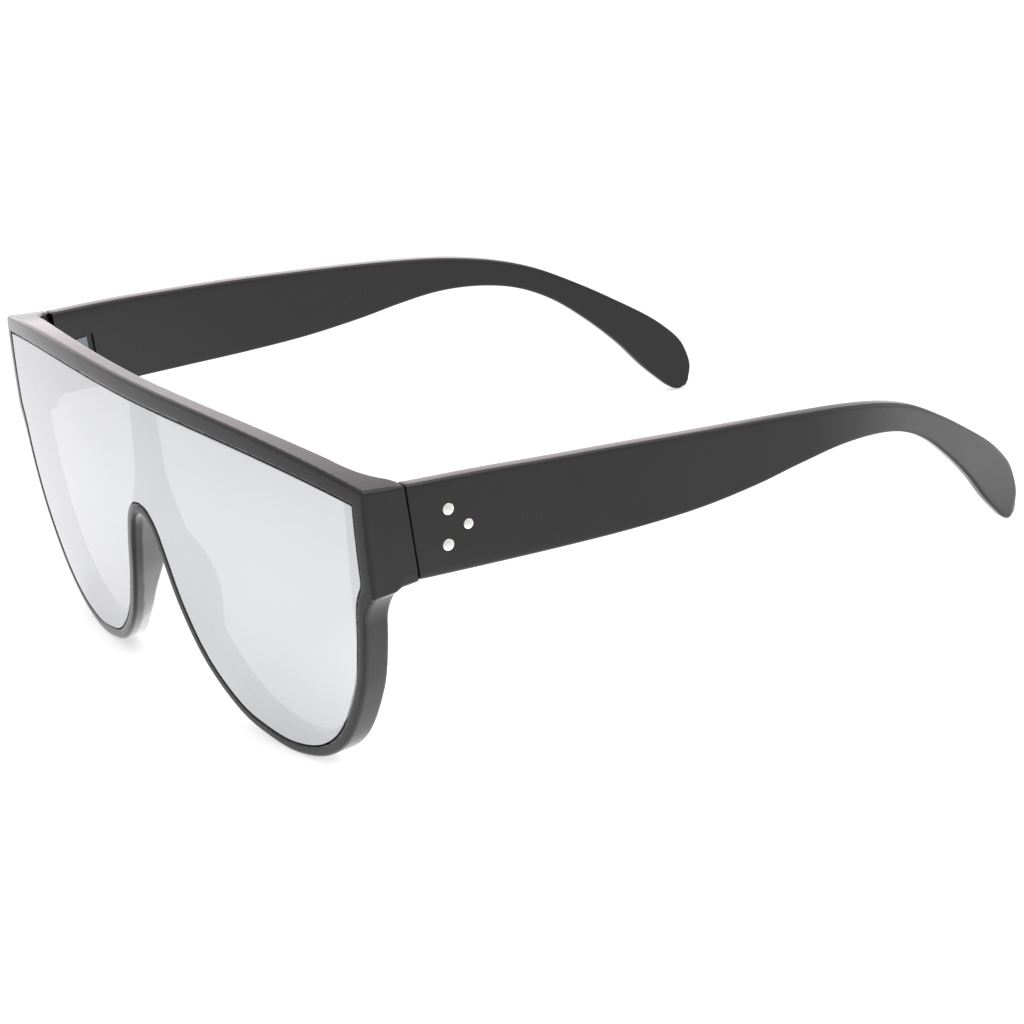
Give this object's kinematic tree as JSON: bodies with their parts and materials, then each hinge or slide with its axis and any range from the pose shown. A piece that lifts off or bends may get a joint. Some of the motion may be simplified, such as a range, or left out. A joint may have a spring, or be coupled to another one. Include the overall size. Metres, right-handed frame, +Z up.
{
  "type": "shield sunglasses",
  "caption": "Flat-topped shield sunglasses with one wide mirror lens, a matte black moulded front with nose pads, and folding temples on metal hinges.",
  "frame": {"origin": "on the table plane, midway between the front of the lens and the temple tips, on the plane of symmetry", "axes": "+X to the wearer's left, +Y backwards along the open temples, +Z up; the glasses stand on the rim's two low points and the two temple tips with the temples open"},
  "size_m": [0.1472, 0.1553, 0.0625],
  "materials": {
    "black_plastic": "fine satin-matte moulded black",
    "mirror_lens": "polished, silver mirror coating that lets some light through",
    "hinge_steel": "plain blue-grey plated steel",
    "stud_metal": "pale satin metal"
  },
  "bodies": {
    "front": {"front_frame": "black_plastic", "shield_lens": "mirror_lens", "left_front_leaf": "hinge_steel", "right_front_leaf": "hinge_steel", "left_hinge_screw": "hinge_steel", "right_hinge_screw": "hinge_steel"},
    "left_arm": {"left_temple": "black_plastic", "left_temple_leaf": "hinge_steel", "left_temple_studs": "stud_metal"},
    "right_arm": {"right_temple": "black_plastic", "right_temple_leaf": "hinge_steel", "right_temple_studs": "stud_metal"}
  },
  "joints": [
    {"name": "left_temple_fold", "type": "hinge", "parent": "front", "child": "left_arm", "pos_m": [0.0682, -0.05804, 0.046], "axis": [0, 0, 1], "range_deg": [0, 85]},
    {"name": "right_temple_fold", "type": "hinge", "parent": "front", "child": "right_arm", "pos_m": [-0.0682, -0.05804, 0.046], "axis": [0, 0, -1], "range_deg": [0, 75]}
  ]
}
